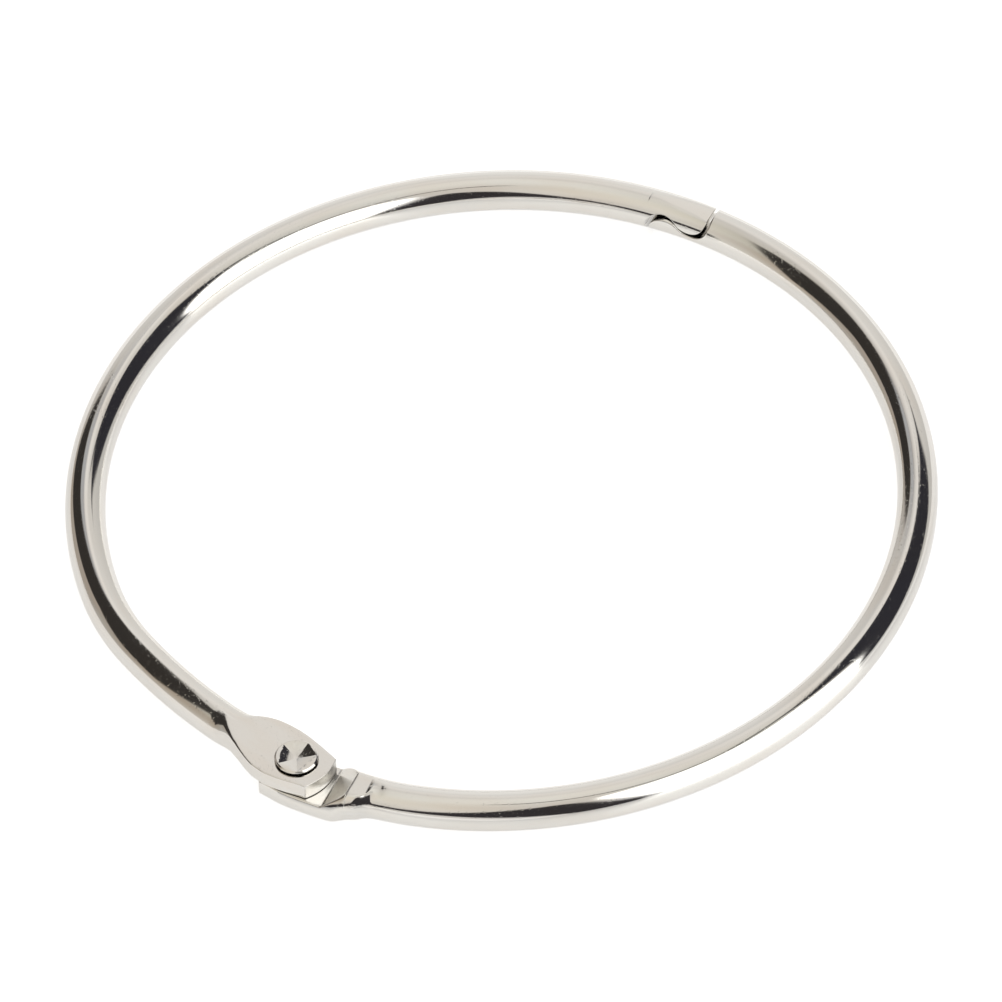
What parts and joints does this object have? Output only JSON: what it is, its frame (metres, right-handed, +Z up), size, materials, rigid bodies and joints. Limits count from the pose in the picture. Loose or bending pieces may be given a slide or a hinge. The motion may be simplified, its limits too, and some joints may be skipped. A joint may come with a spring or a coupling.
{
  "type": "binder ring",
  "caption": "Hinged loose-leaf binder ring of bright nickel-plated steel wire, lying shut: half rings riveted through lapped ears, with a snap catch opposite the hinge.",
  "frame": {"origin": "centre of the ring, on the surface that it lies on; the wire's centre plane is 2.18 mm above it", "axes": "+Z up from the surface, +Y from the hinge to the catch, +X across the ring towards the half with the lower ear"},
  "size_m": [0.084, 0.0849, 0.0044],
  "materials": {
    "nickel_wire": "bright nickel plate over drawn steel wire, with fine scratches and pits",
    "nickel_rivet": "bright nickel plate, faceted dish in the upper head"
  },
  "bodies": {
    "upper_half": {"half_ring_upper_ear": "nickel_wire"},
    "rivet": {"hinge_rivet": "nickel_rivet"},
    "lower_half": {"half_ring_lower_ear": "nickel_wire"}
  },
  "joints": [
    {"name": "swing", "type": "hinge", "parent": "upper_half", "child": "rivet", "pos_m": [0, -0.0396, 0.00218], "axis": [0, 0, -1], "range_deg": [0, 120]},
    {"name": "side_flex", "type": "hinge", "parent": "rivet", "child": "lower_half", "pos_m": [0, -0.0396, 0.00218], "axis": [-1, 0, 0], "range_deg": [0, 1], "stiffness_Nm_per_rad": 15}
  ]
}
